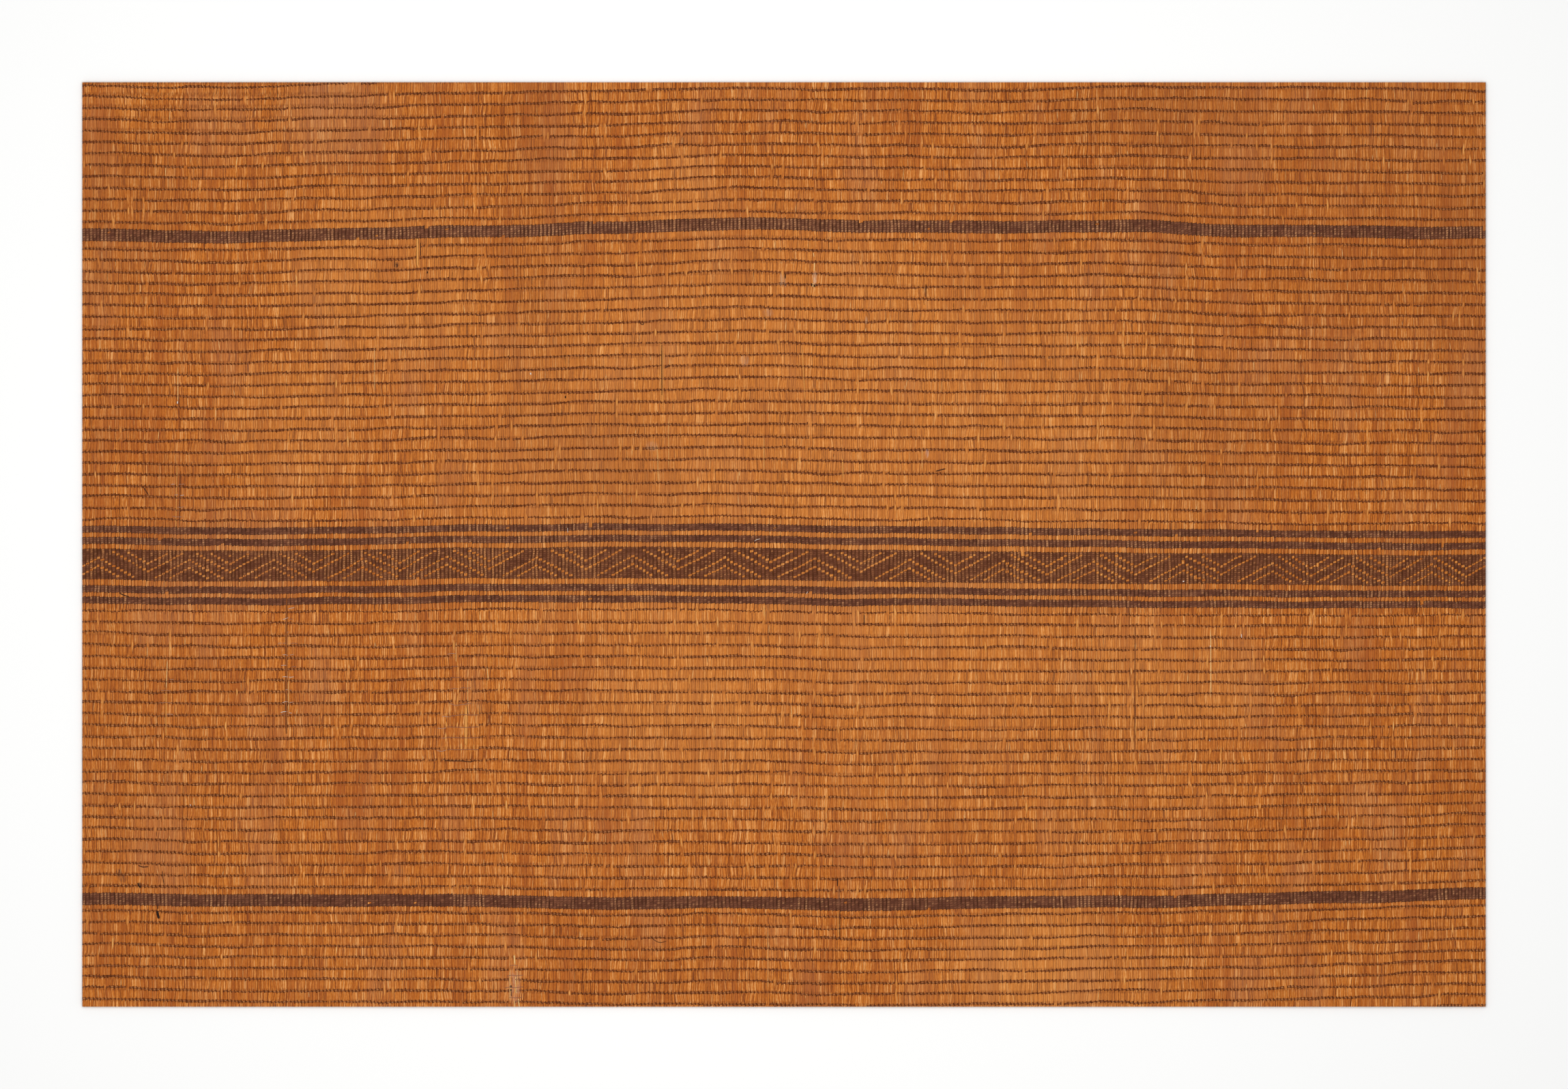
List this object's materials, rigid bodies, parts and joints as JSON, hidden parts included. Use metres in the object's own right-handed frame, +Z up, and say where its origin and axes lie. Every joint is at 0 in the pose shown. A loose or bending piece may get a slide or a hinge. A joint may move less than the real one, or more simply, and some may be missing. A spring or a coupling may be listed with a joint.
{
  "type": "woven reed and leather mat",
  "caption": "Flat length of floor mat: close reed stalks held by rows of leather thong, with dark stripes and a zigzag band.",
  "frame": {"origin": "middle of the underside, on the surface the mat lies on", "axes": "+X along the rows of thong, across the stalks; +Y along the stalks, towards the top of the picture; +Z up out of the worn face"},
  "size_m": [1, 0.6586, 0.0034],
  "materials": {
    "stalk": "golden brown reed, worn to a low sheen",
    "thong": "thin dark brown leather thong, rubbed paler on its crowns"
  },
  "bodies": {
    "root": {"stalk_sheet": "stalk", "stripe_upper": "thong", "line_upper_outer": "thong", "line_upper_inner": "thong", "stripe_figured": "thong", "line_lower_inner": "thong", "line_lower_outer": "thong", "stripe_lower": "thong"}
  },
  "joints": []
}
